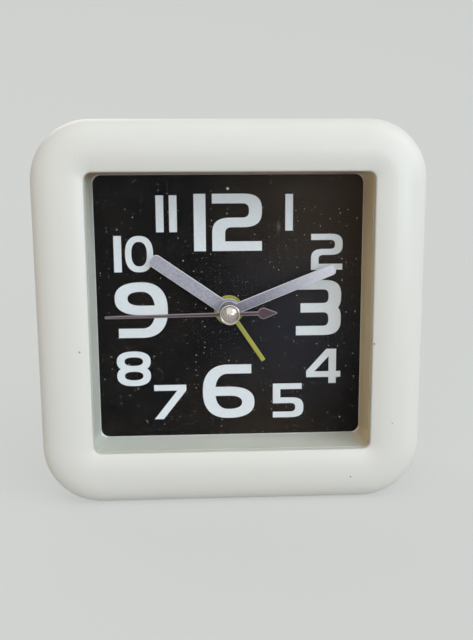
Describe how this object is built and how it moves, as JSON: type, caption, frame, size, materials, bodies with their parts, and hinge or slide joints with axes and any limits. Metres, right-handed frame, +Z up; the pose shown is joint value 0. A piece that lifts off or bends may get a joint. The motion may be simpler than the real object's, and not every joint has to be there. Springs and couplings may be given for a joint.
{
  "type": "alarm clock",
  "caption": "Square desk alarm clock: ivory frame round a deep window, black dial with plain numerals, bar hands, alarm hand, quartz movement with setting knobs at the back.",
  "frame": {"origin": "on the ground under the middle of the clock's box, where it stands on its feet", "axes": "+X to the right as the dial is read, +Y to the back, +Z up; the dial faces -Y"},
  "size_m": [0.1122, 0.046, 0.1118],
  "materials": {
    "ivory_abs": "glossy moulded ABS, ivory",
    "clear_window": "clear, glossy",
    "pale_tube": "satin moulded polystyrene, pale grey-green",
    "dial_sheet": "plain printed sheet",
    "dial_black": "glossy black ink",
    "dial_white": "satin white ink",
    "screw_steel": "zinc plated",
    "foot_rubber": "matt",
    "movement_white": "moulded polystyrene, white",
    "gear_acetal": "moulded acetal, natural",
    "pipe_acetal": "moulded acetal, white",
    "seconds_brass": "turned brass arbor and wheel",
    "magnet_ferrite": "sintered, dark grey",
    "lamination_steel": "stamped nickel iron",
    "copper_wire": "enamelled copper winding",
    "board_green": "printed circuit board",
    "black_moulding": "moulded, black",
    "crystal_can": "bright tin plated can",
    "contact_brass": "spring brass",
    "contact_steel": "nickel plated strip",
    "cell_jacket": "plain coloured jacket",
    "knob_white": "moulded, white",
    "switch_grey": "moulded, dark grey",
    "hand_silver": "silver-lilac lacquer on aluminium",
    "hand_plum": "plum lacquer on aluminium",
    "hand_olive": "olive-yellow lacquer on aluminium",
    "cap_chrome": "bright chrome"
  },
  "bodies": {
    "case": {"front_frame": "ivory_abs", "lens": "clear_window", "dial_surround": "pale_tube", "dial": "dial_sheet", "dial_print": "dial_black", "dial_numerals": "dial_white", "dial_carrier": "pale_tube", "rear_housing": "ivory_abs", "case_screws": "screw_steel", "feet": "foot_rubber", "movement_case_front": "movement_white", "movement_case_rear": "movement_white", "movement_screws": "screw_steel", "cover_screws": "screw_steel", "gear_bridge": "movement_white", "gear_plate": "movement_white", "stator": "lamination_steel", "coil_core": "lamination_steel", "coil_bobbin": "pipe_acetal", "coil_winding": "copper_wire", "circuit_board": "board_green", "quartz_crystal": "crystal_can", "control_chip": "black_moulding", "alarm_contact_spring": "contact_brass", "sounder_case": "black_moulding", "sounder_disc": "contact_brass", "battery": "cell_jacket", "battery_contact_positive": "contact_steel", "battery_contact_negative": "contact_steel"},
    "seconds": {"seconds_wheel": "seconds_brass", "second_hand": "hand_plum", "hand_cap": "cap_chrome"},
    "motor_rotor": {"rotor": "magnet_ferrite"},
    "intermediate": {"intermediate_wheel": "gear_acetal"},
    "third": {"third_wheel": "gear_acetal"},
    "centre": {"centre_wheel": "gear_acetal"},
    "minutes": {"minute_cannon": "pipe_acetal", "minute_hand": "hand_silver"},
    "time_setting": {"motion_wheel": "gear_acetal", "time_knob": "knob_white"},
    "hours": {"hour_wheel": "pipe_acetal", "hour_hand": "hand_silver"},
    "alarm_setting": {"alarm_setting_gear": "gear_acetal", "alarm_knob": "knob_white"},
    "alarm_pointer": {"alarm_wheel": "pipe_acetal", "alarm_hand": "hand_olive"},
    "switch": {"alarm_switch": "switch_grey"},
    "door": {"battery_door": "movement_white"}
  },
  "joints": [
    {"name": "seconds_spin", "type": "hinge", "parent": "case", "child": "seconds", "pos_m": [-0.0004, 0, 0.0561], "axis": [0, 1, 0], "continuous": true},
    {"name": "rotor_spin", "type": "hinge", "parent": "case", "child": "motor_rotor", "pos_m": [0.01332, 0, 0.0637], "axis": [0, 1, 0], "continuous": true},
    {"name": "intermediate_spin", "type": "hinge", "parent": "case", "child": "intermediate", "pos_m": [0.00741, 0, 0.06266], "axis": [0, 1, 0], "continuous": true},
    {"name": "third_spin", "type": "hinge", "parent": "case", "child": "third", "pos_m": [-0.0055, 0, 0.06493], "axis": [0, 1, 0], "continuous": true},
    {"name": "centre_spin", "type": "hinge", "parent": "case", "child": "centre", "pos_m": [-0.0004, 0, 0.0561], "axis": [0, 1, 0], "continuous": true},
    {"name": "minutes_spin", "type": "hinge", "parent": "case", "child": "minutes", "pos_m": [-0.0004, 0, 0.0561], "axis": [0, 1, 0], "continuous": true},
    {"name": "time_setting_spin", "type": "hinge", "parent": "case", "child": "time_setting", "pos_m": [0.00975, 0, 0.05241], "axis": [0, 1, 0], "continuous": true},
    {"name": "hours_spin", "type": "hinge", "parent": "case", "child": "hours", "pos_m": [-0.0004, 0, 0.0561], "axis": [0, 1, 0], "continuous": true},
    {"name": "alarm_setting_spin", "type": "hinge", "parent": "case", "child": "alarm_setting", "pos_m": [-0.01168, 0, 0.052], "axis": [0, 1, 0], "continuous": true},
    {"name": "alarm_pointer_spin", "type": "hinge", "parent": "case", "child": "alarm_pointer", "pos_m": [-0.0004, 0, 0.0561], "axis": [0, 1, 0], "continuous": true},
    {"name": "switch_slide", "type": "slide", "parent": "case", "child": "switch", "axis": [1, 0, 0], "range_m": [0, 0.004]},
    {"name": "door_slide", "type": "slide", "parent": "case", "child": "door", "axis": [0, 1, 0], "range_m": [0, 0.02]}
  ],
  "couplings": [
    {"joint": "rotor_spin", "follows": "seconds_spin", "ratio": 30},
    {"joint": "intermediate_spin", "follows": "seconds_spin", "ratio": -7.5},
    {"joint": "third_spin", "follows": "seconds_spin", "ratio": -0.13333},
    {"joint": "centre_spin", "follows": "seconds_spin", "ratio": 0.016667},
    {"joint": "time_setting_spin", "follows": "minutes_spin", "ratio": -0.33333},
    {"joint": "hours_spin", "follows": "minutes_spin", "ratio": 0.083333},
    {"joint": "alarm_setting_spin", "follows": "alarm_pointer_spin", "ratio": -2}
  ]
}
